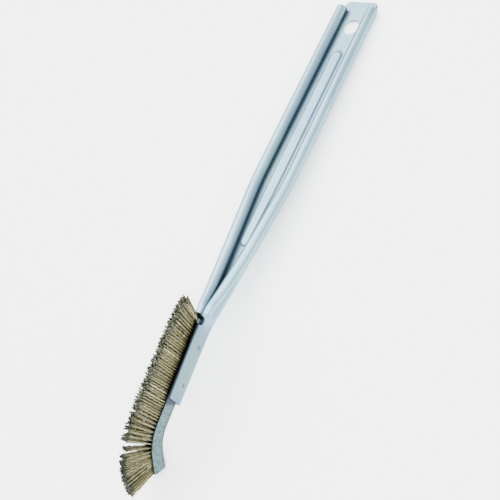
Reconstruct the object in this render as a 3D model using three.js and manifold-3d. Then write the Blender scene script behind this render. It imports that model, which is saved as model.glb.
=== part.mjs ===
// Narrow wire brush: a folded sheet-metal handle that clamps a metal-channel brush strip.
//
// Millimetres, +Z up. X runs along the handle (tail at +X, bristle tip at -X), Y is the
// width, and the brush is mirror-symmetric about Y = 0. The bristles and the open side of
// the handle face up, and the brush lies on its back: the tail and the curved tip touch
// Z = 0, and the origin is the middle of the footprint.
//
// Everything is drawn on one spine, the line of the handle web's upper face. A place on it
// is s, the distance from the hanging hole towards the tip, and h is the height above it.
import * as THREE from 'three';
import { mergeVertices } from 'three/addons/utils/BufferGeometryUtils.js';
import Module from 'manifold-3d';

// Handle sheet and tail.
const SHEET = 0.9;
const HOLE_RADIUS = 3.65;
const TAB_END = 13.2;
const TAB_HALF_WIDTH = 7.4;
const TAB_CHAMFER = 2.2;
const TAB_OVERLAP = 0.6;
const ROLL_END = 8.2;
const ROLL_WRAP = THREE.MathUtils.degToRad(215);

// The sheet's section along the spine: half width to the fold, fold radius (both to the
// middle of the sheet), height of the wall between the fold and the rolled edge, how far
// that wall is drawn in at its top, and the rolled edge's radius.
const SECTIONS = [
  { s: 78.5, half: 7.2, radius: 1.9, wall: 0.2, draw: 0, roll: 1.9 },
  { s: 112, half: 4.3, radius: 1.89, wall: 0.41, draw: 0, roll: 1.89 },
  { s: 127, half: 3.0, radius: 1.88, wall: 1.33, draw: 0.55, roll: 1.68 },
  { s: 134, half: 2.45, radius: 1.8, wall: 2.9, draw: 1.1, roll: 1.27 },
  { s: 137.4, half: 2.17, radius: 1.53, wall: 3.2, draw: 1.08, roll: 1.0 },
  { s: 137.5, half: 2.17, radius: 1.53, wall: 9, draw: 0.6, roll: 1.0 },
  { s: 139.3, half: 2.08, radius: 1.32, wall: 9, draw: 0.35, roll: 1.0 },
  { s: 143, half: 2.1, radius: 0.9, wall: 9, draw: 0, roll: 1.0 },
];

// Sections added where the listed ones are far apart, so that triangles stay short.
const EXTRA_STATIONS = [45, 157];

// Clamp head: the rolled edges stop, and plain walls hold the strip.
const ROLL_STOP = 137.4;
const CLAMP_END = 170.2;
const CLAMP_END_SLANT = 0.17;
const CLAMP_INSIDE = 2.55;
const WALL_TOP_START = 8.2;
const WALL_TOP_END = 7.6;
const WALL_TOP_CORNER = 8.7;
const RELIEF_S = 139.9;
const RELIEF_H = 7.5;
const RELIEF_RADIUS = 1.5;

// Stiffening bead pressed up out of the web.
const BEAD_START = 12.7;
const BEAD_END = 106.3;
const BEAD_RISE = 0.8;
const BEAD_RUN = 2.4;
const BEAD_CREST = 0.2;
const BEAD_FOOT = 0.37;

// The head leans back, and the tip of the strip curves further back.
const HEAD_BEND_START = 137;
const HEAD_BEND_LENGTH = 6;
const HEAD_BEND = THREE.MathUtils.degToRad(6.6);
const TIP_BEND_START = 178.0;
const TIP_BEND_LENGTH = 9.4;
const TIP_BEND = THREE.MathUtils.degToRad(44);

// Brush strip: U-channel, core wire and filament bundles.
const STRIP_START = 139.5;
const STRIP_END = 195.0;
const CHANNEL_HALF = 2.25;
const CHANNEL_SHEET = 0.6;
const CHANNEL_FLOOR = 0.4;
const CHANNEL_TOP = 6.3;
const EAR_TOP = 8.2;
const EAR_START = 140.9;
const EAR_END = 141.4;
const CORE_RADIUS = 0.55;
const CORE_HEIGHT = 1.85;
const BUNDLE_COUNT = 34;
const BUNDLE_ROOT = 2.7;
const BUNDLE_HALF = 1.3;
const BUNDLE_TIP_HALF = 1.6;
const BUNDLE_GAP = 0.3;
const BRISTLE_REACH = 13.3;
const TIP_REACH = 11.7;
const TAIL_REACH = 12.6;

// How many degrees the bristles lean towards the handle along the strip.
const LEANS = [
  { s: 139.5, lean: 16 }, { s: 144.5, lean: 10.5 }, { s: 149, lean: 7.5 },
  { s: 156, lean: 6 }, { s: 178, lean: 6 }, { s: 180, lean: 10.8 }, { s: 182, lean: 15.5 },
  { s: 184, lean: 19.5 }, { s: 185.5, lean: 20 }, { s: 187, lean: 16 },
  { s: 190.4, lean: 1 }, { s: 192.3, lean: -6 }, { s: 195, lean: -8 },
];
const SPLIT_BOUNDARY = 27;
const SPLIT_GAP = 1.0;

// Punched details of the clamp head.
const STAKE_RADIUS = 0.9;
const STAKE_DEPTH = 0.35;
const STAKES = [[148.7, 2.9], [163.3, 2.9]];


const wasm = await Module();
wasm.setup();

const zinc = new THREE.MeshStandardMaterial({ color: 0xbfd0d5, roughness: 0.38, metalness: 0.85 });
const stripSteel = new THREE.MeshStandardMaterial({ color: 0x9fb2ba, roughness: 0.45, metalness: 0.85 });
const coreSteel = new THREE.MeshStandardMaterial({ color: 0x7f8a8e, roughness: 0.5, metalness: 0.9 });
const brassWire = new THREE.MeshStandardMaterial({ color: 0xa99b68, roughness: 0.42, metalness: 0.8 });

// ---- Spine -------------------------------------------------------------------------------

const SPINE = [
  { length: HEAD_BEND_START, turn: 0 },
  { length: HEAD_BEND_LENGTH, turn: HEAD_BEND },
  { length: TIP_BEND_START - HEAD_BEND_START - HEAD_BEND_LENGTH, turn: 0 },
  { length: TIP_BEND_LENGTH, turn: TIP_BEND },
  { length: Infinity, turn: 0 },
];

function spineAt(s) {
  let x = 0;
  let z = 0;
  let angle = 0;
  let left = s;
  for (const { length, turn } of SPINE) {
    const step = Math.min(left, length);
    if (turn === 0) {
      x -= Math.cos(angle) * step;
      z -= Math.sin(angle) * step;
    } else {
      const bent = angle + turn * step / length;
      const radius = length / turn;
      x -= (Math.sin(bent) - Math.sin(angle)) * radius;
      z -= (Math.cos(angle) - Math.cos(bent)) * radius;
      angle = bent;
    }
    left -= step;
    if (left <= 0) break;
  }
  return { x, z, angle };
}

function place(s, y, h) {
  const { x, z, angle } = spineAt(s);
  return new THREE.Vector3(x - h * Math.sin(angle), y, z + h * Math.cos(angle));
}

// A step of `length` from a place, in a direction leaning from the local normal to the tip.
function lean(from, s, tilt, length) {
  const angle = spineAt(s).angle + tilt;
  return new THREE.Vector3(
    from.x - length * Math.sin(angle),
    from.y,
    from.z + length * Math.cos(angle),
  );
}

// ---- Solids ------------------------------------------------------------------------------

// Closed solid through rings of equal point count; each ring is a closed outline whose
// first and last halves face each other, as a bent sheet's two faces do.
function sheetLoft(rings) {
  const count = rings[0].length;
  const positions = rings.flat().flatMap((point) => [point.x, point.y, point.z]);
  const index = [];
  const quad = (a, b, c, d) => index.push(a, b, c, a, c, d);
  for (let ring = 0; ring + 1 < rings.length; ring += 1) {
    for (let i = 0; i < count; i += 1) {
      const j = (i + 1) % count;
      const low = ring * count;
      const high = low + count;
      quad(low + i, high + i, high + j, low + j);
    }
  }
  const last = (rings.length - 1) * count;
  for (let i = 0; i < count / 2 - 1; i += 1) {
    const across = count - 1 - i;
    quad(i, i + 1, across - 1, across);
    quad(last + i, last + across, last + across - 1, last + i + 1);
  }
  const geometry = new THREE.BufferGeometry();
  geometry.setAttribute('position', new THREE.Float32BufferAttribute(positions, 3));
  geometry.setIndex(index);
  return geometry;
}

function toSolid(geometry) {
  const plain = geometry.clone();
  plain.deleteAttribute('normal');
  plain.deleteAttribute('uv');
  const merged = mergeVertices(plain, 1e-4);
  const mesh = new wasm.Mesh({
    numProp: 3,
    vertProperties: new Float32Array(merged.attributes.position.array),
    triVerts: new Uint32Array(merged.index.array),
  });
  return new wasm.Manifold(mesh);
}

function toGeometry(solid) {
  const mesh = solid.getMesh();
  const geometry = new THREE.BufferGeometry();
  geometry.setAttribute('position', new THREE.BufferAttribute(mesh.vertProperties, 3));
  geometry.setIndex(new THREE.BufferAttribute(mesh.triVerts, 1));
  return geometry;
}

function named(name, geometry, material) {
  const mesh = new THREE.Mesh(geometry, material);
  mesh.name = name;
  return mesh;
}

// ---- Handle ------------------------------------------------------------------------------

function smooth(from, to, value) {
  const t = THREE.MathUtils.clamp((value - from) / (to - from), 0, 1);
  return t * t * (3 - 2 * t);
}

function beadHeight(s) {
  return BEAD_RISE * smooth(BEAD_START, BEAD_START + BEAD_RUN, s)
    * (1 - smooth(BEAD_END - BEAD_RUN, BEAD_END, s));
}

// The entry of a table at s, between the listed ones.
function entryAt(table, s) {
  const next = table.findIndex((entry) => entry.s > s);
  const high = next === -1 ? table.at(-1) : table[next];
  const low = next === -1 ? high : table[Math.max(0, next - 1)];
  const t = high === low ? 0 : (s - low.s) / (high.s - low.s);
  const entry = {};
  for (const key of Object.keys(low)) entry[key] = THREE.MathUtils.lerp(low[key], high[key], t);
  return entry;
}

// Middle line of one half of the sheet, from the centre to the free edge. Each point has
// the direction of the sheet's inner face.
function halfLine({ half, radius, wall, draw, roll }, bead) {
  const middle = -SHEET / 2;
  const line = [
    { y: 0, h: middle + bead, ny: 0, nh: 1 },
    { y: BEAD_CREST * half, h: middle + bead, ny: 0, nh: 1 },
    { y: BEAD_FOOT * half, h: middle, ny: 0, nh: 1 },
  ];
  const foldSteps = 3;
  for (let i = 0; i <= foldSteps; i += 1) {
    const turn = Math.PI / 2 * i / foldSteps;
    line.push({
      y: half + radius * Math.sin(turn),
      h: middle + radius - radius * Math.cos(turn),
      ny: -Math.sin(turn),
      nh: Math.cos(turn),
    });
  }
  const curlSteps = 7;
  for (let i = 0; i <= curlSteps; i += 1) {
    const turn = ROLL_WRAP * i / curlSteps;
    line.push({
      y: half + radius - draw - roll + roll * Math.cos(turn),
      h: middle + radius + wall + roll * Math.sin(turn),
      ny: -Math.cos(turn),
      nh: -Math.sin(turn),
    });
  }
  return line;
}

function handleRing(s) {
  const right = halfLine(entryAt(SECTIONS, s), beadHeight(s));
  const left = right.slice(1).reverse().map((p) => ({ ...p, y: -p.y, ny: -p.ny }));
  const line = [...left, ...right];
  const slant = s === CLAMP_END ? CLAMP_END_SLANT : 0;
  const face = (p, side) => {
    const h = p.h + side * p.nh * SHEET / 2;
    return place(s - slant * h, p.y + side * p.ny * SHEET / 2, h);
  };
  const outer = line.map((p) => face(p, -1));
  const inner = line.map((p) => face(p, 1)).reverse();
  return [...outer, ...inner];
}

function handleStations() {
  const beadEnds = [BEAD_START, BEAD_START + BEAD_RUN / 2, BEAD_START + BEAD_RUN,
    BEAD_END - BEAD_RUN, BEAD_END - BEAD_RUN / 2, BEAD_END];
  const stations = [-ROLL_END, ...EXTRA_STATIONS, ...beadEnds, ...SECTIONS.map(({ s }) => s)];
  const bendSteps = 4;
  for (let i = 0; i <= bendSteps; i += 1) {
    stations.push(HEAD_BEND_START + HEAD_BEND_LENGTH * i / bendSteps);
  }
  stations.push(CLAMP_END);
  return [...new Set(stations)].sort((a, b) => a - b);
}

// What is cut away past the rolled edges: the inside of the clamp, and all above its walls.
function clampOpening() {
  const wide = 4 * CLAMP_INSIDE;
  const high = 3 * WALL_TOP_START;
  const beyond = 1;
  const step = 0.01;
  const reliefEnd = RELIEF_S + RELIEF_RADIUS;
  const tops = [
    [ROLL_STOP, WALL_TOP_CORNER], [RELIEF_S - RELIEF_RADIUS, WALL_TOP_CORNER],
    [RELIEF_S - RELIEF_RADIUS + step, RELIEF_H], [reliefEnd - step, RELIEF_H],
    [reliefEnd, WALL_TOP_START], [HEAD_BEND_START + HEAD_BEND_LENGTH, WALL_TOP_START],
    [CLAMP_END + beyond, WALL_TOP_END],
  ];
  const rings = tops.map(([s, top]) => [
    [-wide, high], [-wide, top], [-CLAMP_INSIDE, top], [-CLAMP_INSIDE, 0],
    [CLAMP_INSIDE, 0], [CLAMP_INSIDE, top], [wide, top], [wide, high],
  ].map(([y, h]) => place(s, y, h)));
  return sheetLoft(rings);
}

// Round relief in the top edges of both walls where they start.
function reliefNotch() {
  const centre = place(RELIEF_S, 0, RELIEF_H);
  const width = 4 * CLAMP_INSIDE;
  const drill = new THREE.CylinderGeometry(RELIEF_RADIUS, RELIEF_RADIUS, width, 20);
  return drill.translate(centre.x, centre.y, centre.z);
}

function tailTab() {
  const start = ROLL_END - TAB_OVERLAP;
  const shape = new THREE.Shape([
    new THREE.Vector2(start, -TAB_HALF_WIDTH),
    new THREE.Vector2(TAB_END - TAB_CHAMFER, -TAB_HALF_WIDTH),
    new THREE.Vector2(TAB_END, -TAB_HALF_WIDTH + TAB_CHAMFER),
    new THREE.Vector2(TAB_END, TAB_HALF_WIDTH - TAB_CHAMFER),
    new THREE.Vector2(TAB_END - TAB_CHAMFER, TAB_HALF_WIDTH),
    new THREE.Vector2(start, TAB_HALF_WIDTH),
  ]);
  const plate = new THREE.ExtrudeGeometry(shape, { depth: SHEET, bevelEnabled: false });
  return plate.translate(0, 0, -SHEET);
}

function hangingHole() {
  const drill = new THREE.CylinderGeometry(HOLE_RADIUS, HOLE_RADIUS, 4 * SHEET, 40);
  return drill.rotateX(Math.PI / 2);
}

// Stake marks punched into both outer faces of the clamp.
function stakeMarks() {
  const face = CLAMP_INSIDE + SHEET;
  const reach = 1;
  const marks = [];
  for (const [s, h] of STAKES) {
    for (const side of [-1, 1]) {
      const centre = place(s, side * (face + reach - STAKE_DEPTH), h);
      const punch = new THREE.CylinderGeometry(STAKE_RADIUS, STAKE_RADIUS, 2 * reach, 12);
      marks.push(punch.translate(centre.x, centre.y, centre.z));
    }
  }
  return marks;
}

function handle() {
  let solid = toSolid(sheetLoft(handleStations().map(handleRing)));
  solid = solid.add(toSolid(tailTab())).subtract(toSolid(hangingHole()));
  solid = solid.subtract(toSolid(clampOpening())).subtract(toSolid(reliefNotch()));
  for (const mark of stakeMarks()) solid = solid.subtract(toSolid(mark));
  return named('handle', toGeometry(solid), zinc);
}

// ---- Brush strip -------------------------------------------------------------------------

function stripStations() {
  const stations = [STRIP_START, HEAD_BEND_START + HEAD_BEND_LENGTH, TIP_BEND_START];
  const bendSteps = 6;
  for (let i = 1; i <= bendSteps; i += 1) {
    stations.push(TIP_BEND_START + TIP_BEND_LENGTH * i / bendSteps);
  }
  stations.push(STRIP_END);
  return stations;
}

// U-channel; its walls stand up as ears where it starts, inside the clamp's relief.
function stripChannel() {
  const inside = CHANNEL_HALF - CHANNEL_SHEET;
  const floor = CHANNEL_FLOOR + CHANNEL_SHEET;
  const outer = [
    [-CHANNEL_HALF, CHANNEL_TOP], [-CHANNEL_HALF, CHANNEL_FLOOR],
    [CHANNEL_HALF, CHANNEL_FLOOR], [CHANNEL_HALF, CHANNEL_TOP],
  ];
  const inner = [[inside, CHANNEL_TOP], [inside, floor], [-inside, floor], [-inside, CHANNEL_TOP]];
  const ring = (s, top) => [...outer, ...inner]
    .map(([y, h]) => place(s, y, h === CHANNEL_TOP ? top : h));
  const plain = stripStations().filter((s) => s > EAR_END).map((s) => ring(s, CHANNEL_TOP));
  const ears = [ring(STRIP_START, EAR_TOP), ring(EAR_START, EAR_TOP), ring(EAR_END, CHANNEL_TOP)];
  return named('strip_channel', sheetLoft([...ears, ...plain]), stripSteel);
}

function coreWire() {
  const sides = 10;
  const rings = stripStations().map((s) => {
    const ring = [];
    for (let i = 0; i < sides; i += 1) {
      const turn = 2 * Math.PI * (i + 0.5) / sides;
      ring.push(place(s, -CORE_RADIUS * Math.sin(turn), CORE_HEIGHT + CORE_RADIUS * Math.cos(turn)));
    }
    return ring;
  });
  return named('core_wire', sheetLoft(rings), coreSteel);
}

// Line number j between two bundles: its root, its place at the channel's mouth and its tip.
function boundary(j, inset, tipInset) {
  const pitch = (STRIP_END - STRIP_START) / BUNDLE_COUNT;
  const s = STRIP_START + j * pitch + inset;
  const tilt = -THREE.MathUtils.degToRad(entryAt(LEANS, STRIP_START + j * pitch).lean);
  const root = place(s, 0, BUNDLE_ROOT);
  const mouth = place(s, 0, CHANNEL_TOP);
  const reach = BRISTLE_REACH + (TIP_REACH - BRISTLE_REACH) * smooth(SPLIT_BOUNDARY, BUNDLE_COUNT, j)
    + (TAIL_REACH - BRISTLE_REACH) * (1 - smooth(0, 2, j));
  const tip = lean(mouth, s, tilt, reach);
  const sideways = spineAt(s).angle + tilt;
  tip.x -= tipInset * Math.cos(sideways);
  tip.z -= tipInset * Math.sin(sideways);
  return [root, mouth, tip];
}

function bristleBundle(i) {
  const half = BUNDLE_GAP / 2;
  const split = (j) => (j === SPLIT_BOUNDARY ? SPLIT_GAP / 2 : 0);
  const tailSide = boundary(i, half, split(i));
  const tipSide = boundary(i + 1, -half, -split(i + 1));
  const widths = [BUNDLE_HALF, BUNDLE_HALF, BUNDLE_TIP_HALF];
  const rings = widths.map((width, level) => [
    tailSide[level].clone().setY(width),
    tailSide[level].clone().setY(-width),
    tipSide[level].clone().setY(-width),
    tipSide[level].clone().setY(width),
  ]);
  return named(`bristle_bundle_${String(i + 1).padStart(2, '0')}`, sheetLoft(rings), brassWire);
}

// ---- Assembly ----------------------------------------------------------------------------

// Tilt that puts the tail end and the strip's lowest corner on one level.
function restTilt() {
  const tail = new THREE.Vector3(TAB_END, 0, -SHEET);
  const tip = place(STRIP_END, 0, CHANNEL_FLOOR);
  return Math.atan2(tail.z - tip.z, tail.x - tip.x);
}

const brush = new THREE.Group();
brush.add(handle(), stripChannel(), coreWire());
for (let i = 0; i < BUNDLE_COUNT; i += 1) brush.add(bristleBundle(i));

brush.rotation.y = restTilt();
brush.updateMatrixWorld(true);
const box = new THREE.Box3().setFromObject(brush, true);
brush.position.set(-(box.min.x + box.max.x) / 2, 0, -box.min.z);
brush.updateMatrixWorld(true);

export default brush;
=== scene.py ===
"""Wire brush: the detailed visual model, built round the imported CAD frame.

Drawing sizes are millimetres on the same spine as the CAD: s is the distance along the
brush from the hanging hole towards the tip, y is across it, and h is the height above the
handle's web. place() turns them into metres in the row frame.
"""
import math
import random
from collections import namedtuple

import bmesh
import bpy
from mathutils import Matrix, Vector


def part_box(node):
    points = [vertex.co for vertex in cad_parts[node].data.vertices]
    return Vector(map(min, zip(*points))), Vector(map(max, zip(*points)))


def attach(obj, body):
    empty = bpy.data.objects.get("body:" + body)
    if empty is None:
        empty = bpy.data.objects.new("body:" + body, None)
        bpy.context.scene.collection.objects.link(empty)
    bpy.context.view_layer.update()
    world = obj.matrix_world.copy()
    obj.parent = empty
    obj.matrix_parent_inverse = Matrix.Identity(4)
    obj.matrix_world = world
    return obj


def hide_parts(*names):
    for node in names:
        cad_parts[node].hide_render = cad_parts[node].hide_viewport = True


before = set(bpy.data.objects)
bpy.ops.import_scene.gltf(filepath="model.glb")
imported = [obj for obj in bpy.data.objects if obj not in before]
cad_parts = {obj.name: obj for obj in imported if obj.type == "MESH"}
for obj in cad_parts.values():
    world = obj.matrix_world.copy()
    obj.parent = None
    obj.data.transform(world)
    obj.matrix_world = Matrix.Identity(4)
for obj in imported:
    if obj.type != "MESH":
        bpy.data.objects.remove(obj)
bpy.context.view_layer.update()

MM = 0.001

# Handle sheet and tail.
SHEET = 0.9
HOLE_RADIUS = 3.65
TAB_END = 13.2
TAB_HALF_WIDTH = 7.4
TAB_CORNER = 2.2
TAB_FLARE = 0.3
ROLL_END = 8.2
ROLL_STOP = 137.4
ROLL_WRAP = math.radians(215)
EDGE_ROUND = 0.16
WEB_MIDDLE = -SHEET / 2

# The sheet's section along the spine: (s, half width to the fold, fold radius, wall height
# up to the rolled edge, how far the wall is drawn in at its top, the rolled edge's radius).
SECTIONS = [
    (78.5, 7.2, 1.9, 0.2, 0, 1.9),
    (112.0, 4.3, 1.89, 0.41, 0, 1.89),
    (127.0, 3.0, 1.88, 1.33, 0.55, 1.68),
    (134.0, 2.45, 1.8, 2.9, 1.1, 1.27),
    (137.0, 2.18, 1.57, 3.18, 1.15, 1.0),
    (139.3, 2.08, 1.32, 3.4, 0.35, 1.0),
    (143.0, 2.1, 0.9, 3.8, 0, 1.0),
]

# Up to EASED_UNTIL, the table's changes of slope are rounded off over this much either side.
SECTION_EASE = 4.0
EASED_UNTIL = 131.0

# Clamp head: (s, height of the wall's top edge), with a round relief where it starts.
CLAMP_END = 170.2
CLAMP_END_SLANT = 0.17
SLANT_START = 160.0
PLAIN_WALL_START = 144.0
WALL_TOP = [(138.6, 8.7), (141.0, 8.2), (143.0, 8.2), (CLAMP_END, 7.6)]
RELIEF_S = 139.9
RELIEF_H = 7.5
RELIEF_RADIUS = 1.5

# Marks on the clamp: (s, h, radius, depth) of each stake, and the strip's print, which
# stands out from the wall above STRIP_PRINT_H and fades along s.
STAKES = [(148.7, 2.9, 0.9, 0.4), (163.3, 2.9, 0.8, 0.4), (159.5, 3.6, 0.6, 0.15)]
STAKE_FLAT = 0.3
STRIP_PRINT = 0.16
STRIP_PRINT_S = 140.9
STRIP_PRINT_H = 3.4
STRIP_PRINT_EDGE = 0.2
STRIP_PRINT_FADE = (142.5, 147)

# Stiffening bead pressed up out of the web; its widths are fractions of the web's half, and
# its ends are drawn more finely over BEAD_END_RUN.
BEAD_START = 12.7
BEAD_END = 106.3
BEAD_RISE = 0.8
BEAD_FOOT = 0.38
BEAD_CREST = 0.25
BEAD_END_RUN = 3

# The head leans back, and the tip of the strip curves further back.
HEAD_BEND_START = 137.0
HEAD_BEND_LENGTH = 6.0
HEAD_BEND = math.radians(6.6)
TIP_BEND_START = 178.0
TIP_BEND_LENGTH = 9.4
TIP_BEND = math.radians(44)

# Brush strip.
STRIP_START = 139.5
STRIP_END = 195.0
CHANNEL_HALF = 2.25
CHANNEL_SHEET = 0.6
CHANNEL_FLOOR = 0.4
CHANNEL_TOP = 6.3
EAR_TOP = 8.2
EAR_START = 140.9
EAR_END = 141.4
CHANNEL_FOLD = 0.75
CRIMP_START = 4.6
CRIMP_DEPTH = 0.28
CRIMP_FULL_S = 143.0
BUCKLE_H = 4.1
BUCKLE_HALF = 0.7
BUCKLE_DEPTH = 0.28
BUCKLE_RUN = 4.0
CORE_RADIUS = 0.55
CORE_HEIGHT = 1.85
CORE_SIDES = 20

# How dark sheltered metal is painted, from 0 to 1; the studio's light leaves it too pale. A
# pair is where one of these fades in or out: along s, up h, by the turn of a bend in radians
# or, for a stake's rims, by the share of its radius.
CUT_SHADE = 0.95
DEEP_SHADE = 0.95
HOLE_SHADE = 0.3
WEB_SHADE = 0.15
UNDER_ROLL_BEFORE = 2.4
UNDER_ROLL_PAST = 0.3
MOUTH_CLOSING = (0.2, 2.6)
BEAD_SHADE = 0.4
SEAM_SHADE = 0.4
SEAM_FADE = (85, 112)
SEAM_FOLD_TURN = (1.35, 1.57)
SEAM_ROLL_TURN = (0, 0.25)
ROLL_SHADE_TURN = (2.75, 3.05)
CLAMP_SHADE = 0.5
CLAMP_SHADE_LENGTH = 6
WALL_TOP_SHADE = 0.6
WALL_TOP_SHADE_DEPTH = 0.9
CLAMP_END_SHADE = 0.8
CLAMP_END_SHADE_LENGTH = 0.4
STAKE_SHADE_PER_DEPTH = 2.2
STAKE_RIM_INSIDE = (0.35, 0.6)
STAKE_RIM_OUTSIDE = (0.8, 1.15)
FOLD_SHADE = 0.6
FOLD_SHADE_H = (1.5, 3.2)
CLAMP_SHADOW = 0.8
CLAMP_SHADOW_LENGTH = 1.0

# Bristle wires, in rows across the strip. The outer wires of a row keep to its line, and the
# inner ones are spread over the space between the rows. A wander along the strip is in
# millimetres for the outer wires, and in shares of the row's pitch for the inner ones.
WIRE_RADIUS = 0.28
WIRE_RADIUS_SHARE = (0.9, 1.1)
WIRE_RINGS = 15
WIRE_SIDES = 8
ROW_COUNT = 57
ROW_PITCH = (STRIP_END - STRIP_START) / ROW_COUNT
FIRST_ROW = 0.3
OUTER_WIRES = 2
OUTER_SPREAD = 0.1
OUTER_WANDER = 0.05
INNER_WIRES = 8
INNER_SPREAD = 0.55
INNER_WANDER = 0.5
# The inner wires' tone is scaled down: painted shade for wires deep in the field.
INNER_SHADE_SCALE = 0.5
ROW_LEAN_SPREAD = math.radians(0.35)
ROW_REACH_SPREAD = 0.12
ROW_Y_SPREAD = 0.04
WIRE_LEAN_SPREAD = math.radians(0.8)
WIRE_REACH_SPREAD = 0.16
FIELD_ROOT_HALF = 1.25
FIELD_TIP_HALF = 1.5
WIRE_ROOT = 4.0
BRISTLE_REACH = 13.3
TIP_REACH = 11.7
TAIL_REACH = 12.5
TAIL_REACH_LENGTH = 3.0
SPLIT_S = 184.2
SPLIT_TILT = math.radians(0.7)
SPLIT_SPREAD = 2.0
SPLIT_LEAD = 0.6
SPLIT_LAG = 0.8
SPLIT_ROWS = 1.5
CRIMP_WAVE = 3.4
CRIMP_SWING = 0.13
CRIMP_SWING_START = 2.5
BRISTLE_PIECES = 6
SEED = 7

# How many degrees the bristles lean towards the handle along the strip: (s, degrees).
LEANS = [
    (139.5, 16.0), (144.5, 10.5), (149.0, 7.5), (156.0, 6.0), (178.0, 6.0), (180.0, 10.8),
    (182.0, 15.5), (184.0, 19.5), (185.5, 20.0), (187.0, 16.0), (190.4, 1.0), (192.3, -6.0),
    (195.0, -8.0),
]

# Single wires out of line: (s, y, degrees of lean, reach, radius, tone).
STRAYS = [(140.6, -1.75, 15, 12.0, 0.26, 1.0), (194.6, -0.9, -15, 16.5, 0.12, 0.95)]

# Camera: which way it looks, in degrees, and how far it is from its target, in metres.
CAMERA_TARGET = Vector((-0.00952, -0.00093, 0.005))
CAMERA_AZIMUTH = -21.903
CAMERA_ELEVATION = 53.253
CAMERA_ROLL = -48.411
CAMERA_DISTANCE = 0.31138
CAMERA_LENS = 58.35
CAMERA_SENSOR = 36.0
FLOOR_HALF = 3.0
FLOOR_DROP = 0.0002
FLOOR_GLOW = 0.5


# ---- Placing -----------------------------------------------------------------------------

SPINE = [
    (HEAD_BEND_START, 0.0),
    (HEAD_BEND_LENGTH, HEAD_BEND),
    (TIP_BEND_START - HEAD_BEND_START - HEAD_BEND_LENGTH, 0.0),
    (TIP_BEND_LENGTH, TIP_BEND),
    (math.inf, 0.0),
]


def spine_at(s):
    """(x, z, angle) of the spine at s, in the drawing's own millimetres."""
    x, z, angle, left = 0.0, 0.0, 0.0, s
    for length, turn in SPINE:
        step = min(left, length)
        if turn == 0:
            x -= math.cos(angle) * step
            z -= math.sin(angle) * step
        else:
            bent = angle + turn * step / length
            radius = length / turn
            x -= (math.sin(bent) - math.sin(angle)) * radius
            z -= (math.cos(angle) - math.cos(bent)) * radius
            angle = bent
        left -= step
        if left <= 0:
            break
    return x, z, angle


def raised(s, h):
    """(x, z) at height h over the spine."""
    x, z, angle = spine_at(s)
    return x - h * math.sin(angle), z + h * math.cos(angle)


TIP_X, TIP_Z = raised(STRIP_END, CHANNEL_FLOOR)
REST_TILT = math.atan2(-SHEET - TIP_Z, TAB_END - TIP_X)
TILT_COS, TILT_SIN = math.cos(REST_TILT), math.sin(REST_TILT)
SHIFT_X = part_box("handle")[1].x / MM - TAB_END * TILT_COS
SHIFT_Z = TAB_END * TILT_SIN + SHEET * TILT_COS


def in_row(x, y, z):
    """A drawing point as metres in the row frame, with the brush tilted as it lies."""
    across = x * TILT_COS + z * TILT_SIN + SHIFT_X
    up = -x * TILT_SIN + z * TILT_COS + SHIFT_Z
    return Vector((across, y, up)) * MM


def place(s, y, h):
    x, z = raised(s, h)
    return in_row(x, y, z)


def smooth(low, high, value):
    t = min(1.0, max(0.0, (value - low) / (high - low)))
    return t * t * (3 - 2 * t)


def between(table, s, column):
    """Linear reading of a table whose first column is s, held level past its ends."""
    if s <= table[0][0]:
        return table[0][column]
    for low, high in zip(table, table[1:]):
        if s <= high[0]:
            t = (s - low[0]) / (high[0] - low[0])
            return low[column] + t * (high[column] - low[column])
    return table[-1][column]


def span(start, end, count):
    """count + 1 even values from start to end."""
    return [start + (end - start) * i / count for i in range(count + 1)]


def part_way(low, high, share):
    """The point that is a share of the way from low to high."""
    return [a + (b - a) * share for a, b in zip(low, high)]


# ---- Meshes ------------------------------------------------------------------------------

def add_object(name, mesh, material, stands_for):
    obj = bpy.data.objects.new(name, mesh)
    bpy.context.scene.collection.objects.link(obj)
    mesh.materials.append(material)
    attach(obj, "root")
    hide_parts(*stands_for)
    return obj


def finish_mesh(bm, name, sharp_degrees=38):
    bmesh.ops.recalc_face_normals(bm, faces=bm.faces)
    mesh = bpy.data.meshes.new(name)
    bm.to_mesh(mesh)
    bm.free()
    mesh.polygons.foreach_set("use_smooth", [True] * len(mesh.polygons))
    mesh.set_sharp_from_angle(angle=math.radians(sharp_degrees))
    return mesh


# A point of a sheet's middle line, the direction of its inner face, how far its outer face
# is pressed in, and how much painted shade its outer and inner faces get there, from 0 to 1.
SheetPoint = namedtuple("SheetPoint", "y h ny nh dent shade inner_shade", defaults=(0, 0, 0))


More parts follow.
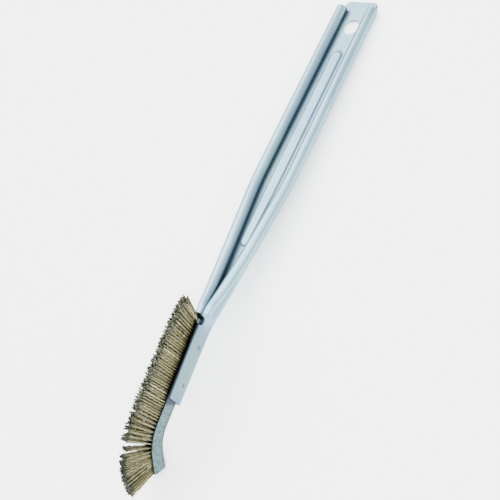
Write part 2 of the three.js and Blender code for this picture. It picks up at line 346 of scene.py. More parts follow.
class BentSheet:
    """A bent sheet as one closed mesh.

    section(s) lists one half of the sheet's middle line from the centre to the free edge.
    absent(s, j) says that cell j of the half line, counted from the centre, is cut away
    there, window(s, j) that it is left to a hole's own shape, and slant(s) by how much s
    falls with height there. Cut edges are thinner, so they look rounded, and darker: raw
    sheared metal, with painted shade.
    """

    def __init__(self, stations, section, thickness, absent=None, window=None, slant=None):
        self.stations = stations
        self.half_thickness = thickness / 2
        self.lines = [self.mirrored(section(s)) for s in stations]
        self.rows = len(stations) - 1
        self.columns = len(self.lines[0]) - 1
        self.absent = absent or (lambda s, j: False)
        self.window = window or (lambda s, j: False)
        self.slant = slant or (lambda s: 0)
        self.bm = bmesh.new()
        self.shade = self.bm.verts.layers.float.new("shade")
        self.corners = {}

    @staticmethod
    def mirrored(half):
        return [p._replace(y=-p.y, ny=-p.ny) for p in reversed(half[1:])] + half

    def middle(self, i):
        return (self.stations[i] + self.stations[i + 1]) / 2

    def half_cell(self, k):
        centre = self.columns // 2
        return k - centre if k >= centre else centre - 1 - k

    def solid(self, i, k):
        inside = 0 <= i < self.rows and 0 <= k < self.columns
        return inside and not self.absent(self.middle(i), self.half_cell(k))

    def in_window(self, i, k):
        return self.window(self.middle(i), self.half_cell(k))

    def corner(self, i, k, side):
        """The vertex of station i and line point k on the inner (1) or outer (-1) face."""
        if (i, k, side) not in self.corners:
            line, s = self.lines[i][k], self.stations[i]
            cut = not all(self.solid(i + a, k + b) for a in (-1, 0) for b in (-1, 0))
            reach = self.half_thickness - (EDGE_ROUND if cut else 0)
            reach -= line.dent if side < 0 else 0
            up = line.h + side * line.nh * reach
            point = place(s - self.slant(s) * up, line.y + side * line.ny * reach, up)
            shade = line.shade if side < 0 else line.inner_shade
            self.corners[i, k, side] = self.new_vertex(point, CUT_SHADE if cut else shade)
        return self.corners[i, k, side]

    def new_vertex(self, point, shade):
        vertex = self.bm.verts.new(point)
        vertex[self.shade] = shade
        return vertex

    def edge_face(self, a, b):
        self.bm.faces.new([self.corner(*a, 1), self.corner(*b, 1),
                           self.corner(*b, -1), self.corner(*a, -1)])

    def build(self):
        for i in range(self.rows):
            for k in range(self.columns):
                if not self.solid(i, k) or self.in_window(i, k):
                    continue
                loop = [(i, k), (i, k + 1), (i + 1, k + 1), (i + 1, k)]
                for side in (1, -1):
                    self.bm.faces.new([self.corner(*c, side) for c in loop])
                neighbours = [(i - 1, k), (i, k + 1), (i + 1, k), (i, k - 1)]
                for a, b, other in zip(loop, loop[1:] + loop[:1], neighbours):
                    if not self.solid(*other):
                        self.edge_face(a, b)
        return self.bm

    def window_loop(self):
        """The grid corners round the window, in order."""
        rows = [i for i in range(self.rows) if self.in_window(i, self.columns // 2)]
        columns = [k for k in range(self.columns) if self.in_window(rows[0], k)]
        low_i, high_i = rows[0], rows[-1] + 1
        low_k, high_k = columns[0], columns[-1] + 1
        loop = [(low_i, k) for k in range(low_k, high_k)]
        loop += [(i, high_k) for i in range(low_i, high_i)]
        loop += [(high_i, k) for k in range(high_k, low_k, -1)]
        loop += [(i, low_k) for i in range(high_i, low_i, -1)]
        return loop


def bridge(bm, first, second):
    """A band of faces between two loops of equal length."""
    count = len(first)
    for n in range(count):
        m = (n + 1) % count
        bm.faces.new([first[n], first[m], second[m], second[n]])


# ---- Handle ------------------------------------------------------------------------------

WEB_FRACTIONS = [0, 0.09, 0.18, 0.225, 0.255, 0.285, 0.315, 0.345, 0.375, 0.405, 0.46,
                 0.54, 0.63, 0.7, 0.8, 0.9, 0.97, 1]
WEB_CELLS = len(WEB_FRACTIONS) - 1
FOLD_CELLS = 9
WALL_CELLS = 22
ROLL_CELLS = 26
HOLE_WINDOW_CELLS = 13
HOLE_WINDOW = WEB_FRACTIONS[HOLE_WINDOW_CELLS] * SECTIONS[0][1]
NECK_S = SECTIONS[3][0]
STATION_GAP = 1e-3


def eased(s, column):
    """A section value, with its changes of slope rounded off before the clamp."""
    if s > EASED_UNTIL:
        return between(SECTIONS, s, column)
    near = [between(SECTIONS, s + d, column) for d in span(-SECTION_EASE, SECTION_EASE, 4)]
    return sum(near) / len(near)


def wall_top(s):
    """Height of the clamp wall's top edge, with the round relief cut into its start."""
    top = between(WALL_TOP, s, 1)
    away = abs(s - RELIEF_S)
    if away < RELIEF_RADIUS:
        top = min(top, RELIEF_H - math.sqrt(RELIEF_RADIUS ** 2 - away ** 2))
    return top


def bead_height(s, fraction, half):
    """Height of the pressed bead, which has round ends."""
    foot = BEAD_FOOT * half
    past = max(BEAD_START + foot - s, s - BEAD_END + foot, 0) / foot
    out = math.hypot(fraction / BEAD_FOOT, past)
    return BEAD_RISE * (1 - smooth(BEAD_CREST / BEAD_FOOT, 1, out))


def tab_half(s):
    """Half width of the flat tab beyond the rolled edges, with its corners rounded."""
    into = s + TAB_END
    flare = smooth(-ROLL_END, -ROLL_END - TAB_FLARE, s)
    half = SECTIONS[0][1] + (TAB_HALF_WIDTH - SECTIONS[0][1]) * flare
    if into < TAB_CORNER:
        half -= TAB_CORNER - math.sqrt(TAB_CORNER ** 2 - (TAB_CORNER - into) ** 2)
    return half


def wall_dent(s, h):
    """How far the clamp's outer face is pressed in: stake marks, less the strip's print."""
    dent = 0.0
    for stake_s, stake_h, radius, depth in STAKES:
        away = math.hypot(s - stake_s, h - stake_h) / radius
        dent += depth * (1 - smooth(STAKE_FLAT, 1, away))
    rise = smooth(STRIP_PRINT_S, STRIP_PRINT_S + STRIP_PRINT_EDGE, s)
    rise *= 1 - smooth(*STRIP_PRINT_FADE, s)
    above = smooth(STRIP_PRINT_H - STRIP_PRINT_EDGE, STRIP_PRINT_H + STRIP_PRINT_EDGE, h)
    return dent - STRIP_PRINT * rise * above


def stake_shade(s, h):
    """Painted shade on the rims of the stake marks."""
    rims = []
    for stake_s, stake_h, radius, depth in STAKES:
        away = math.hypot(s - stake_s, h - stake_h) / radius
        rim = smooth(*STAKE_RIM_INSIDE, away) * (1 - smooth(*STAKE_RIM_OUTSIDE, away))
        rims.append(depth * rim)
    return STAKE_SHADE_PER_DEPTH * max(rims)


def web_shade(s, y, mouth):
    """Painted shade on the web: a little all over, and more under the rolls and where they
    close over it towards the head.
    """
    if s < -ROLL_END:
        return WEB_SHADE
    under = smooth(mouth - UNDER_ROLL_BEFORE, mouth + UNDER_ROLL_PAST, y)
    closed = 1 - smooth(*MOUTH_CLOSING, mouth)
    return max(WEB_SHADE, DEEP_SHADE * max(under, closed))


def wall_shade(s, below_top):
    """Painted shade: the clamp's wall is darker and duller than the handle, and darker still
    close to its top and its end.
    """
    shaded = CLAMP_SHADE * smooth(ROLL_STOP, ROLL_STOP + CLAMP_SHADE_LENGTH, s)
    top = WALL_TOP_SHADE * (1 - smooth(0, WALL_TOP_SHADE_DEPTH, below_top))
    end = CLAMP_END_SHADE * smooth(CLAMP_END - CLAMP_END_SHADE_LENGTH, CLAMP_END, s)
    return max(shaded, top, end)


def clamp_slant(s):
    return CLAMP_END_SLANT * smooth(SLANT_START, CLAMP_END, s)


# The section's sizes at one station: as in SECTIONS, with the half width between the two
# rolled edges (mouth), whether there are rolled edges, and how strongly the painted shade
# along their seams shows.
Profile = namedtuple("Profile", "half radius knee draw roll mouth rolled lined")


def profile_at(s):
    half = eased(s, 1) if s >= -ROLL_END else tab_half(s)
    radius, knee, draw, roll = (eased(s, column) for column in (2, 3, 4, 5))
    mouth = half + radius - draw - 2 * roll - SHEET / 2
    rolled = s > -ROLL_END
    lined = 1 - smooth(*SEAM_FADE, s) if rolled else 0
    return Profile(half, radius, knee, draw, roll, mouth, rolled, lined)


def web_points(s, profile):
    line = []
    for fraction in WEB_FRACTIONS:
        y = fraction * profile.half
        rise = bead_height(s, fraction, profile.half)
        # Painted shade on the bead's slopes, strongest halfway up.
        side = BEAD_SHADE * (1 - abs(2 * rise / BEAD_RISE - 1))
        shade = max(side, web_shade(s, y, profile.mouth))
        line.append(SheetPoint(y, WEB_MIDDLE + rise, 0, 1, 0, 0, shade))
    return line


def fold_points(profile):
    """The quarter turn from the web up into the wall."""
    inner_shade = DEEP_SHADE if profile.rolled else 0
    line = []
    for turn in span(0, math.pi / 2, FOLD_CELLS)[1:]:
        y = profile.half + profile.radius * math.sin(turn)
        h = WEB_MIDDLE + profile.radius * (1 - math.cos(turn))
        # Painted shade in the crease where the fold meets the wall, and on the inner face.
        crease_shade = SEAM_SHADE * profile.lined * smooth(*SEAM_FOLD_TURN, turn)
        line.append(SheetPoint(y, h, -math.sin(turn), math.cos(turn), 0, crease_shade, inner_shade))
    return line


def wall_points(s, profile, foot, top):
    """The wall, drawn in between its foot and the knee."""
    line = []
    for t in span(0, 1 - EDGE_ROUND / CHANNEL_TOP, WALL_CELLS - 1)[1:] + [1]:
        h = foot + t * (top - foot)
        drawn = profile.draw * smooth(foot, foot + profile.knee, h)
        y = profile.half + profile.radius - drawn
        # Painted shade along the neck's walls and on every inner face; the clamp wall gets its own.
        dent, shade = 0, SEAM_SHADE * profile.lined
        if s > ROLL_STOP:
            dent = wall_dent(s, h)
            shade = max(wall_shade(s, top - h), stake_shade(s, h))
        line.append(SheetPoint(y, h, -1, 0, dent, shade, DEEP_SHADE))
    return line


def roll_points(profile, top):
    """The rolled edge, which curls inward from the top of the wall."""
    centre = profile.half + profile.radius - profile.draw - profile.roll
    thin = EDGE_ROUND / (profile.roll * ROLL_WRAP)
    line = []
    for t in span(0, 1 - thin, ROLL_CELLS - 1)[1:] + [1]:
        turn = ROLL_WRAP * t
        y = centre + profile.roll * math.cos(turn)
        h = top + profile.roll * math.sin(turn)
        # Painted shade on the roll's tucked-in side and along its seam with the wall.
        shade = DEEP_SHADE * smooth(*ROLL_SHADE_TURN, turn)
        shade += SEAM_SHADE * profile.lined * (1 - smooth(*SEAM_ROLL_TURN, turn))
        line.append(SheetPoint(y, h, -math.cos(turn), -math.sin(turn), 0, shade, DEEP_SHADE))
    return line


def handle_section(s):
    profile = profile_at(s)
    foot = WEB_MIDDLE + profile.radius
    top = wall_top(s) if s > ROLL_STOP else foot + profile.knee
    line = web_points(s, profile) + fold_points(profile)
    return line + wall_points(s, profile, foot, top) + roll_points(profile, top)


def handle_stations():
    """Places along s where the section is drawn, closer together where it changes most."""
    corner = [TAB_CORNER * (1 - math.cos(t)) - TAB_END for t in span(0.3, math.pi / 2, 8)]
    bead_round, bead_straight_end = BEAD_START + BEAD_END_RUN, BEAD_END - BEAD_END_RUN
    relief_start = RELIEF_S - RELIEF_RADIUS
    relief_end = RELIEF_S + RELIEF_RADIUS
    stations = [-TAB_END] + corner
    stations += span(TAB_CORNER - TAB_END, -ROLL_END - TAB_FLARE, 4)
    stations += [-ROLL_END - TAB_FLARE / 2, -ROLL_END, -ROLL_END + EDGE_ROUND]
    stations += span(-7.5, -HOLE_WINDOW, 3) + span(-HOLE_WINDOW, HOLE_WINDOW, 24)
    stations += span(HOLE_WINDOW, BEAD_START, 6) + span(BEAD_START, bead_round, 14)
    stations += span(bead_round, bead_straight_end, 34) + span(bead_straight_end, BEAD_END, 14)
    stations += span(BEAD_END, NECK_S, 18) + span(NECK_S, ROLL_STOP - EDGE_ROUND, 9)
    stations += [ROLL_STOP, ROLL_STOP + 0.03] + span(ROLL_STOP + 0.15, relief_start, 5)
    stations += [RELIEF_S + RELIEF_RADIUS * math.sin(t)
                 for t in span(-math.pi / 2, math.pi / 2, 24)]
    stations += span(STRIP_PRINT_S + 0.4, relief_end + 0.02, 8)
    stations += span(STRIP_PRINT_S + 0.6, PLAIN_WALL_START, 7)
    for stake_s, _, radius, _ in STAKES:
        stations += span(stake_s - radius, stake_s + radius, 14)
    stations += span(PLAIN_WALL_START, CLAMP_END - EDGE_ROUND, 30) + [CLAMP_END]
    apart = []
    for s in sorted(stations):
        if not apart or s - apart[-1] > STATION_GAP:
            apart.append(s)
    return apart


def handle_absent(s, j):
    if s < -ROLL_END:
        return j >= WEB_CELLS
    return s > ROLL_STOP and j >= WEB_CELLS + FOLD_CELLS + WALL_CELLS


def handle_window(s, j):
    return abs(s) < HOLE_WINDOW and j < HOLE_WINDOW_CELLS


def add_hanging_hole(sheet):
    """Fills the window with the flat face round the hole and the hole's own wall."""
    loop = sheet.window_loop()
    throats = []
    for side in (1, -1):
        square = [sheet.corner(i, k, side) for i, k in loop]
        height = WEB_MIDDLE + side * SHEET / 2
        rim, throat = [], []
        for i, k in loop:
            turn = math.atan2(sheet.lines[i][k].y, sheet.stations[i])
            inset = height - side * EDGE_ROUND
            # The hole's throat gets some painted shade.
            for ring, radius, h, shade in ((rim, HOLE_RADIUS + EDGE_ROUND, height, 0),
                                           (throat, HOLE_RADIUS, inset, HOLE_SHADE)):
                point = place(radius * math.cos(turn), radius * math.sin(turn), h)
                ring.append(sheet.new_vertex(point, shade))
        bridge(sheet.bm, square, rim)
        bridge(sheet.bm, rim, throat)
        throats.append(throat)
    bridge(sheet.bm, *throats)


def make_handle(material):
    sheet = BentSheet(handle_stations(), handle_section, SHEET, handle_absent, handle_window,
                      clamp_slant)
    sheet.build()
    add_hanging_hole(sheet)
    mesh = finish_mesh(sheet.bm, "handle_sheet")
    return add_object("handle_sheet", mesh, material, ["handle"])


# ---- Brush strip -------------------------------------------------------------------------

def strip_stations():
    bend_end = TIP_BEND_START + TIP_BEND_LENGTH
    stations = [STRIP_START, STRIP_START + EDGE_ROUND] + span(STRIP_START + 0.7, EAR_START, 3)
    stations += span(EAR_START, EAR_END, 5)[1:] + span(EAR_END, CRIMP_FULL_S, 5)[1:]
    stations += span(CRIMP_FULL_S, TIP_BEND_START, 60)[1:]
    stations += span(TIP_BEND_START, bend_end, 24)[1:]
    return stations + span(bend_end, STRIP_END - EDGE_ROUND, 14)[1:] + [STRIP_END]


def channel_dent(s, h):
    """The lengthwise buckle pressed into the channel's side where the tip is bent."""
    along = smooth(TIP_BEND_START, TIP_BEND_START + BUCKLE_RUN, s)
    along *= 1 - smooth(STRIP_END - BUCKLE_RUN, STRIP_END, s)
    return BUCKLE_DEPTH * along * (1 - smooth(0, BUCKLE_HALF, abs(h - BUCKLE_H)))


def channel_shade(s, h):
    """Painted shade on the channel under its fold, and a painted shadow just past the clamp's
    slanted end.
    """
    fold = FOLD_SHADE * (1 - smooth(*FOLD_SHADE_H, h))
    if s <= EAR_END:
        return fold
    clamp_edge = CLAMP_END_SLANT * h
    shadow = CLAMP_SHADOW * (1 - smooth(CLAMP_END, CLAMP_END + CLAMP_SHADOW_LENGTH, s - clamp_edge))
    return max(shadow, fold)


def channel_section(s):
    outer = CHANNEL_HALF - CHANNEL_SHEET / 2
    middle = CHANNEL_FLOOR + CHANNEL_SHEET / 2
    flat = outer - CHANNEL_FOLD
    # The channel's floor and fold get painted shade.
    line = [SheetPoint(y, middle, 0, 1, 0, FOLD_SHADE) for y in span(0, flat, 4)]
    for turn in span(0, math.pi / 2, 8)[1:]:
        y = flat + CHANNEL_FOLD * math.sin(turn)
        h = middle + CHANNEL_FOLD * (1 - math.cos(turn))
        line.append(SheetPoint(y, h, -math.sin(turn), math.cos(turn), 0, FOLD_SHADE))
    top = CHANNEL_TOP + (EAR_TOP - CHANNEL_TOP) * (1 - smooth(EAR_START, EAR_END, s))
    heights = span(middle + CHANNEL_FOLD, top - EDGE_ROUND, 22)[1:] + [top]
    crimp = smooth(EAR_START, CRIMP_FULL_S, s)
    for h in heights:
        lean_in = CRIMP_DEPTH * smooth(CRIMP_START, CHANNEL_TOP, h) * crimp
        shade = channel_shade(s, h)
        line.append(SheetPoint(outer - lean_in, h, -1, 0, channel_dent(s, h), shade))
    return line


def make_strip(material):
    sheet = BentSheet(strip_stations(), channel_section, CHANNEL_SHEET)
    mesh = finish_mesh(sheet.build(), "brush_strip_channel")
    return add_object("brush_strip_channel", mesh, material, ["strip_channel"])


def make_core(material):
    bm = bmesh.new()
    turns = [2 * math.pi * n / CORE_SIDES for n in range(CORE_SIDES)]
    rings = []
    for s in strip_stations():
        points = [place(s, CORE_RADIUS * math.sin(t), CORE_HEIGHT + CORE_RADIUS * math.cos(t))
                  for t in turns]
        rings.append([bm.verts.new(p) for p in points])
    for low, high in zip(rings, rings[1:]):
        bridge(bm, low, high)
    bm.faces.new(rings[0])
    bm.faces.new(rings[-1])
    mesh = finish_mesh(bm, "strip_core_wire")
    return add_object("strip_core_wire", mesh, material, ["core_wire"])


# ---- Bristles ----------------------------------------------------------------------------

def field_tilt(s):
    """How far a wire leans from the local upright towards the tip of the brush."""
    away = s - SPLIT_S
    split = math.copysign(SPLIT_TILT * (1 - smooth(0, SPLIT_SPREAD, abs(away))), away)
    return split - math.radians(between(LEANS, s, 1))


def field_opening(s):
    """How many times further apart two rows are at their tips than at the strip."""
    turn = 0
    for end, sign in ((s + ROW_PITCH, 1), (s, -1)):
        turn += sign * (spine_at(end)[2] - math.radians(between(LEANS, end, 1)))
    return 1 + max(0, BRISTLE_REACH * turn / ROW_PITCH)


def field_reach(s):
    """Length of the wires beyond the strip; they stand proud just before the split."""
    away = s - SPLIT_S
    edge = 0
    if abs(away) < ROW_PITCH:
        edge = SPLIT_LEAD if away < 0 else -SPLIT_LAG
    tip = smooth(SPLIT_S, STRIP_END, s)
    tail = 1 - smooth(STRIP_START, STRIP_START + TAIL_REACH_LENGTH, s)
    ends = (TIP_REACH - BRISTLE_REACH) * tip + (TAIL_REACH - BRISTLE_REACH) * tail
    return BRISTLE_REACH + ends + edge


class Wire:
    """One crimped wire: where it leaves the strip, how it leans and how far it reaches."""

    def __init__(self, chance, s, y, row_tilt, row_reach, drift, brightness):
        self.s, self.y, self.drift = s, y, drift
        self.tip_y = y * FIELD_TIP_HALF / FIELD_ROOT_HALF
        self.tilt = field_tilt(s) + row_tilt + chance.gauss(0, WIRE_LEAN_SPREAD)
        self.side_tilt = chance.gauss(0, WIRE_LEAN_SPREAD)
        self.reach = field_reach(s) + row_reach + chance.gauss(0, WIRE_REACH_SPREAD)
        self.phase = chance.uniform(0, 2 * math.pi)
        self.swing_turn = chance.uniform(0, math.pi)
        self.radius = WIRE_RADIUS * chance.uniform(*WIRE_RADIUS_SHARE)
        self.tone = chance.random() * brightness

    def joints(self, angle, lean):
        """The wire's root, where it leaves the strip, and its tip, on the drawing's axes."""
        root_x, root_z = raised(self.s, WIRE_ROOT)
        mouth_x, mouth_z = raised(self.s, CHANNEL_TOP)
        out = self.reach * math.cos(self.side_tilt)
        tip_x = mouth_x - out * math.sin(lean) - self.drift * math.cos(angle)
        tip_z = mouth_z + out * math.cos(lean) - self.drift * math.sin(angle)
        tip_y = self.tip_y + self.reach * math.sin(self.side_tilt)
        return (root_x, self.y, root_z), (mouth_x, self.y, mouth_z), (tip_x, tip_y, tip_z)

    def sway(self, run, inside, lean):
        """How far the wire's crimp carries it off its straight line."""
        wave = CRIMP_SWING * math.sin(2 * math.pi * run / CRIMP_WAVE + self.phase)
        wave *= smooth(inside, inside + CRIMP_SWING_START, run)
        along = wave * math.cos(self.swing_turn)
        across = wave * math.sin(self.swing_turn)
        return Vector((-along * math.cos(lean), across, -along * math.sin(lean)))

    def centre_line(self):
        """(middle, height above the web, length left) of each ring, and two axes across it."""
        _, _, angle = spine_at(self.s)
        lean = angle + self.tilt
        root, mouth, tip = self.joints(angle, lean)
        inside = CHANNEL_TOP - WIRE_ROOT
        total = inside + self.reach
        line = []
        for run in span(0, total, WIRE_RINGS - 1):
            if run < inside:
                point = Vector(part_way(root, mouth, run / inside))
            else:
                point = Vector(part_way(mouth, tip, (run - inside) / self.reach))
            point += self.sway(run, inside, lean)
            line.append((in_row(*point), WIRE_ROOT + run, total - run))
        across = lean - REST_TILT
        return line, (Vector((0, 1, 0)), Vector((math.cos(across), 0, math.sin(across))))


class WireBatch:
    """Bristle wires gathered into one mesh, with the values that colour them.

    wire_out is how far a point is above the metal that holds the wire, wire_left how far it
    is from the cut end, both in millimetres, and wire_tone is one number for each wire: a
    random tone, lower for the inner wires as painted shade.
    """

    def __init__(self):
        self.points, self.faces = [], []
        self.values = {"wire_out": [], "wire_left": [], "wire_tone": []}

    def add(self, wire):
        first = len(self.points)
        line, (side_a, side_b) = wire.centre_line()
        metal_edge = between(WALL_TOP, wire.s, 1) if wire.s < CLAMP_END else CHANNEL_TOP
        last = len(line) - 1
        for centre, height, left in line:
            for corner in range(WIRE_SIDES):
                turn = 2 * math.pi * corner / WIRE_SIDES
                offset = side_a * math.cos(turn) + side_b * math.sin(turn)
                self.points.append(centre + offset * wire.radius * MM)
                self.values["wire_out"].append(height - metal_edge)
                self.values["wire_left"].append(left)
                self.values["wire_tone"].append(wire.tone)
        for n in range(last):
            low = first + n * WIRE_SIDES
            for corner in range(WIRE_SIDES):
                after = (corner + 1) % WIRE_SIDES
                self.faces.append((low + corner, low + after,
                                   low + WIRE_SIDES + after, low + WIRE_SIDES + corner))
        self.faces.append(tuple(first + n for n in reversed(range(WIRE_SIDES))))
        self.faces.append(tuple(first + last * WIRE_SIDES + n for n in range(WIRE_SIDES)))

    def to_mesh(self, name):
        mesh = bpy.data.meshes.new(name)
        mesh.from_pydata(self.points, [], self.faces)
        for label, values in self.values.items():
            mesh.attributes.new(label, "FLOAT", "POINT").data.foreach_set("value", values)
        mesh.polygons.foreach_set("use_smooth", [True] * len(mesh.polygons))
        mesh.set_sharp_from_angle(angle=math.radians(80))
        return mesh


def wire_row(chance, s):
    """The wires of one row across the strip, which lean and reach together.

    The outer ones at each side stay in line; the rest fill the space between the rows,
    with more of them where the rows open out.
    """
    tilt = chance.gauss(0, ROW_LEAN_SPREAD)
    reach = chance.gauss(0, ROW_REACH_SPREAD)
    opening = field_opening(s)
    inner = round(INNER_WIRES * opening)
    count = inner + 2 * OUTER_WIRES
    wires = []
    for n in range(count):
        outer = min(n, count - 1 - n) < OUTER_WIRES
        y = FIELD_ROOT_HALF * (2 * n / (count - 1) - 1) + chance.gauss(0, ROW_Y_SPREAD)
        if outer:
            spread = OUTER_SPREAD + INNER_SPREAD * (opening - 1)
            drift = chance.uniform(-spread, spread)
            along = chance.gauss(0, OUTER_WANDER)
        else:
            spread = INNER_SPREAD * opening
            drift = chance.uniform(-spread, spread)
            along = chance.uniform(-INNER_WANDER, INNER_WANDER) * ROW_PITCH
        if abs(s - SPLIT_S) < SPLIT_ROWS * ROW_PITCH:
            drift = math.copysign(drift, s - SPLIT_S)
            along = 0
        # Inner wires get a lower tone as painted shade.
        brightness = 1 if outer else INNER_SHADE_SCALE
        wires.append(Wire(chance, s + along, y, tilt, reach, drift, brightness))
    return wires


def stray_wires(chance):
    """Single wires that stand out of the field."""
    wires = []
    for s, y, lean, reach, radius, tone in STRAYS:
        wire = Wire(chance, s, y, 0, 0, 0, 1)
        wire.tilt, wire.reach = -math.radians(lean), reach
        wire.radius, wire.tone = radius, tone
        wires.append(wire)
    return wires


def make_bristles(material, bundles):
    chance = random.Random(SEED)
    batches = [WireBatch() for _ in range(BRISTLE_PIECES)]
    for n in range(ROW_COUNT):
        for wire in wire_row(chance, STRIP_START + ROW_PITCH * (n + FIRST_ROW)):
            batches[n * BRISTLE_PIECES // ROW_COUNT].add(wire)
    for wire in stray_wires(chance):
        row = int((wire.s - STRIP_START) / ROW_PITCH)
        batches[row * BRISTLE_PIECES // ROW_COUNT].add(wire)
    for piece, batch in enumerate(batches):
        name = f"bristle_wires_{piece + 1}"
        low = piece * len(bundles) // BRISTLE_PIECES
        high = (piece + 1) * len(bundles) // BRISTLE_PIECES
        add_object(name, batch.to_mesh(name), material, bundles[low:high])


# ---- Materials ---------------------------------------------------------------------------

def new_material(name):
    material = bpy.data.materials.new(name)
    material.use_nodes = True
    shader = material.node_tree.nodes["Principled BSDF"]
    return material, material.node_tree, shader


def node(tree, kind, **settings):
    made = tree.nodes.new(kind)
    for key, value in settings.items():
        if key in made.inputs:
            made.inputs[key].default_value = value
        else:
            setattr(made, key, value)
    return made


def ramp(tree, source, stops):
    """A colour ramp fed by a socket; stops are (position, colour)."""
    made = tree.nodes.new("ShaderNodeValToRGB")
    made.color_ramp.elements[0].position = stops[0][0]
    made.color_ramp.elements[0].color = (*stops[0][1], 1)
    made.color_ramp.elements[1].position = stops[-1][0]
    made.color_ramp.elements[1].color = (*stops[-1][1], 1)
    for position, colour in stops[1:-1]:
        made.color_ramp.elements.new(position).color = (*colour, 1)
    tree.links.new(source, made.inputs["Fac"])
    return made.outputs["Color"]


def noise(tree, scale, stretch=(1, 1, 1), detail=4.0, roughness=0.5):
    """3-D noise in object space, stretched along some axes."""
    place_node = node(tree, "ShaderNodeTexCoord")
    mapping = node(tree, "ShaderNodeMapping", Scale=stretch)
    tree.links.new(place_node.outputs["Object"], mapping.inputs["Vector"])
    made = node(tree, "ShaderNodeTexNoise", Scale=scale, Detail=detail, Roughness=roughness)
    tree.links.new(mapping.outputs["Vector"], made.inputs["Vector"])
    return made.outputs["Fac"]


def mix(tree, factor, first, second, blend="MIX"):
    """Blends two colours; the node's colour sockets are its 0 (factor), 6 and 7."""
    made = node(tree, "ShaderNodeMix", data_type="RGBA", blend_type=blend)
    for socket, value in ((made.inputs[0], factor), (made.inputs[6], first),
                          (made.inputs[7], second)):
        if isinstance(value, bpy.types.NodeSocket):
            tree.links.new(value, socket)
        elif isinstance(value, tuple):
            socket.default_value = (*value, 1)
        else:
            socket.default_value = value
    return made.outputs[2]


def bump(tree, shader, height, strength, distance):
    made = node(tree, "ShaderNodeBump", Strength=strength, Distance=distance)
    tree.links.new(height, made.inputs["Height"])
    tree.links.new(made.outputs["Normal"], shader.inputs["Normal"])


def ranged(tree, source, low, high):
    """A value of 0 where the source is low and 1 where it is high."""
    made = node(tree, "ShaderNodeMapRange")
    made.inputs["From Min"].default_value = low
    made.inputs["From Max"].default_value = high
    tree.links.new(source, made.inputs["Value"])
    return made.outputs["Result"]


def feed(tree, shader, socket, source, low, high):
    """Sets a shader's value to low where the source is 0 and to high where it is 1."""
    made = node(tree, "ShaderNodeMapRange")
    made.inputs["To Min"].default_value = low
    made.inputs["To Max"].default_value = high
    tree.links.new(source, made.inputs["Value"])
    tree.links.new(made.outputs["Result"], shader.inputs[socket])


def rough(tree, shader, source, low, high):
    feed(tree, shader, "Roughness", source, low, high)


def darken(tree, shader, colour):
    """Paints shade: darkens and dulls the metal where its mesh's "shade" is high."""
    shade = node(tree, "ShaderNodeAttribute", attribute_name="shade").outputs["Fac"]
    tree.links.new(mix(tree, shade, colour, (0.012, 0.02, 0.03)), shader.inputs["Base Color"])
    for socket, shaded in (("Metallic", 0.0), ("Specular IOR Level", 0.1)):
        feed(tree, shader, socket, shade, shader.inputs[socket].default_value, shaded)


def zinc_material():
    material, tree, shader = new_material("zinc_sheet_metal")
    shader.inputs["Metallic"].default_value = 0.85
    drawn = noise(tree, 260, (0.12, 1, 1), 5, 0.6)
    cloud = noise(tree, 90, detail=3)
    fine = noise(tree, 1800, detail=2)
    base = ramp(tree, cloud, [(0.35, (0.21, 0.34, 0.44)), (0.65, (0.225, 0.39, 0.41))])
    streaked = ramp(tree, drawn, [(0.35, (0.80, 0.84, 0.88)), (0.65, (1, 1, 1))])
    clean = mix(tree, 1.0, base, streaked, "MULTIPLY")
    rough(tree, shader, drawn, 0.30, 0.44)
    darken(tree, shader, clean)
    bump(tree, shader, fine, 0.06, 0.0002)
    return material


def strip_material():
    material, tree, shader = new_material("strip_steel_metal")
    shader.inputs["Metallic"].default_value = 0.85
    mottle = noise(tree, 900, detail=4, roughness=0.6)
    cloud = noise(tree, 160, detail=2)
    base = ramp(tree, mottle, [(0.40, (0.045, 0.08, 0.085)), (0.60, (0.11, 0.175, 0.18))])
    tint = ramp(tree, cloud, [(0.3, (0.88, 0.95, 1.0)), (0.7, (0.95, 1.0, 0.96))])
    darken(tree, shader, mix(tree, 1.0, base, tint, "MULTIPLY"))
    rough(tree, shader, mottle, 0.34, 0.52)
    bump(tree, shader, mottle, 0.25, 0.0002)
    return material


def core_material():
    material, tree, shader = new_material("core_steel_metal")
    shader.inputs["Metallic"].default_value = 0.9
    drawn = noise(tree, 700, (0.1, 1, 1))
    colour = ramp(tree, drawn, [(0.3, (0.2, 0.22, 0.23)), (0.7, (0.34, 0.36, 0.37))])
    tree.links.new(colour, shader.inputs["Base Color"])
    rough(tree, shader, drawn, 0.35, 0.5)
    return material


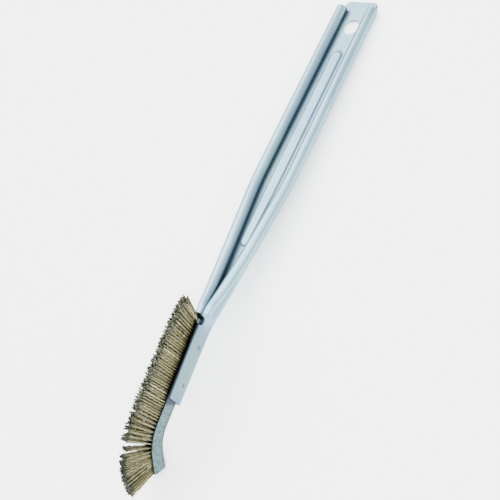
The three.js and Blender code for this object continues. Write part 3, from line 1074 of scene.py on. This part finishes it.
def bristle_material():
    """Brass-coated steel: painted shade at the root, golden along the wire with painted glints,
    bare grey at the cut.
    """
    material, tree, shader = new_material("brass_coated_wire")
    shader.inputs["Metallic"].default_value = 0.75
    tone, out, left = (node(tree, "ShaderNodeAttribute", attribute_name=name).outputs["Fac"]
                       for name in ("wire_tone", "wire_out", "wire_left"))
    coat = ramp(tree, tone, [(0.0, (0.04, 0.036, 0.013)), (0.4, (0.108, 0.099, 0.036)),
                             (0.95, (0.17, 0.154, 0.062)), (1.0, (0.34, 0.31, 0.15))])
    wear = noise(tree, 1500, detail=3)
    wear_and_glints = mix(tree, ramp(tree, wear, [(0.45, (0, 0, 0)), (0.7, (0.5, 0.5, 0.5))]),
               coat, (0.13, 0.13, 0.10))
    # Painted glints: bright specks along the wires.
    glint = noise(tree, 750, detail=1)
    wear_and_glints = mix(tree, ramp(tree, glint, [(0.66, (0, 0, 0)), (0.72, (0.5, 0.5, 0.5))]),
               wear_and_glints, (0.55, 0.51, 0.32))
    # Painted shade at the root: black up to 0.3 mm below the metal's edge, full colour 1.2 mm above
    # it.
    root = ramp(tree, ranged(tree, out, -0.3, 1.2), [(0.0, (0.04, 0.04, 0.04)), (1.0, (1, 1, 1))])
    end = ramp(tree, ranged(tree, left, 0, 2.4),
               [(0.0, (0.36, 0.42, 0.52)), (0.5, (0.75, 0.78, 0.86)), (1.0, (1, 1, 1))])
    # Painted root shade times the bare grey of the cut ends.
    shade = mix(tree, 1.0, root, end, "MULTIPLY")
    tree.links.new(mix(tree, 1.0, wear_and_glints, shade, "MULTIPLY"), shader.inputs["Base Color"])
    rough(tree, shader, wear, 0.34, 0.5)
    return material


def floor_material():
    material, tree, shader = new_material("plain_floor")
    shader.inputs["Base Color"].default_value = (0.9, 0.9, 0.9, 1)
    shader.inputs["Roughness"].default_value = 0.9
    shader.inputs["Emission Color"].default_value = (1, 1, 1, 1)
    shader.inputs["Emission Strength"].default_value = FLOOR_GLOW
    return material


# ---- Studio ------------------------------------------------------------------------------

def look(azimuth, elevation):
    """The direction from a target back to a viewer at that azimuth and elevation."""
    a, e = math.radians(azimuth), math.radians(elevation)
    return Vector((math.sin(a) * math.cos(e), -math.cos(a) * math.cos(e), math.sin(e)))


def make_floor():
    mesh = bpy.data.meshes.new("studio_floor")
    signs = ((-1, -1), (1, -1), (1, 1), (-1, 1))
    corners = [(FLOOR_HALF * x, FLOOR_HALF * y, 0) for x, y in signs]
    mesh.from_pydata(corners, [], [(0, 1, 2, 3)])
    mesh.materials.append(floor_material())
    floor = bpy.data.objects.new("studio_floor", mesh)
    floor.location.z = -FLOOR_DROP
    bpy.context.scene.collection.objects.link(floor)


def softbox(name, azimuth, elevation, distance, size, power, colour=(1, 1, 1)):
    data = bpy.data.lights.new(name, "AREA")
    data.shape = "RECTANGLE"
    data.size, data.size_y = size
    data.energy = power
    data.color = colour
    light = bpy.data.objects.new(name, data)
    direction = look(azimuth, elevation)
    light.location = CAMERA_TARGET + direction * distance
    light.rotation_mode = "QUATERNION"
    light.rotation_quaternion = (-direction).to_track_quat("-Z", "Y")
    bpy.context.scene.collection.objects.link(light)


def make_lights():
    world = bpy.data.worlds.new("studio_world")
    world.use_nodes = True
    background = world.node_tree.nodes["Background"]
    background.inputs["Color"].default_value = (0.93, 0.97, 1.0, 1)
    background.inputs["Strength"].default_value = 1.6
    bpy.context.scene.world = world
    softbox("back_softbox", 155, 52, 1.0, (1.1, 0.7), 22)
    softbox("top_softbox", 0, 86, 1.1, (1.0, 0.8), 22)
    softbox("front_softbox", -22, 50, 1.2, (1.0, 0.8), 29)


def matrix_of(x_axis, y_axis, z_axis, origin):
    columns = [(*x_axis, 0), (*y_axis, 0), (*z_axis, 0), (*origin, 1)]
    return Matrix(columns).transposed()


def make_camera():
    data = bpy.data.cameras.new("photo_camera")
    data.lens = CAMERA_LENS
    data.sensor_width = CAMERA_SENSOR
    data.clip_start = 0.01
    data.clip_end = 20
    camera = bpy.data.objects.new("photo_camera", data)
    back = look(CAMERA_AZIMUTH, CAMERA_ELEVATION)
    right = Vector((0, 0, 1)).cross(back).normalized()
    up = back.cross(right)
    roll = math.radians(CAMERA_ROLL)
    turned_right = right * math.cos(roll) + up * math.sin(roll)
    turned_up = up * math.cos(roll) - right * math.sin(roll)
    camera.matrix_world = matrix_of(turned_right, turned_up, back,
                                    CAMERA_TARGET + back * CAMERA_DISTANCE)
    bpy.context.scene.collection.objects.link(camera)
    bpy.context.scene.camera = camera


# ---- Assembly ----------------------------------------------------------------------------

bundle_names = sorted(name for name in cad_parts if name.startswith("bristle_bundle_"))
make_camera()
make_lights()
make_floor()
make_handle(zinc_material())
make_strip(strip_material())
make_core(core_material())
make_bristles(bristle_material(), bundle_names)
